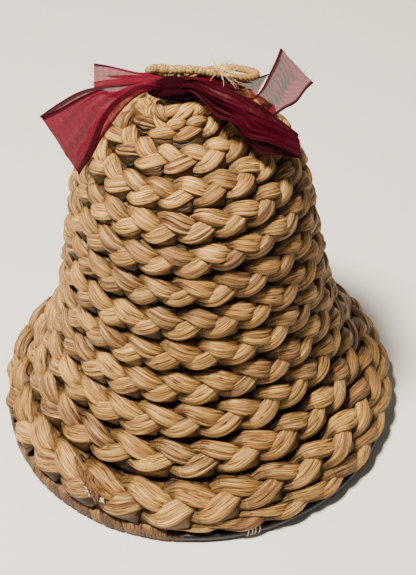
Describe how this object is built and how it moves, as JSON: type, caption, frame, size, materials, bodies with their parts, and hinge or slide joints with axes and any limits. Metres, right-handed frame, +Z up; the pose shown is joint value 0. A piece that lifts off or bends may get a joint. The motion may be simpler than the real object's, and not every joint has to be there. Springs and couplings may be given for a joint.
{
  "type": "woven bell ornament",
  "caption": "Hollow flared bell coiled from one three-strand plant-fibre braid, on a part-wrapped wire rim hoop, with a cord hanging loop and a sheer ribbon bow on the crown.",
  "frame": {"origin": "on the ground under the middle of the rim", "axes": "+Z up from the open mouth to the crown, -Y to the front, where the braid starts at the rim"},
  "size_m": [0.219, 0.2188, 0.2286],
  "materials": {
    "braid_fibre": "dried water hyacinth braid, straw to tan, satin",
    "hoop_wire": "black coated steel wire",
    "wrap_fibre": "flat plant-fibre strip, brown, matte",
    "cord_fibre": "twisted and wrapped plant-fibre cord, matte",
    "organza": "sheer burgundy organza ribbon"
  },
  "bodies": {
    "root": {"woven_body": "braid_fibre", "rim_hoop": "hoop_wire", "rim_wrap": "wrap_fibre", "hanging_loop": "cord_fibre", "ribbon_bow": "organza"}
  },
  "joints": []
}
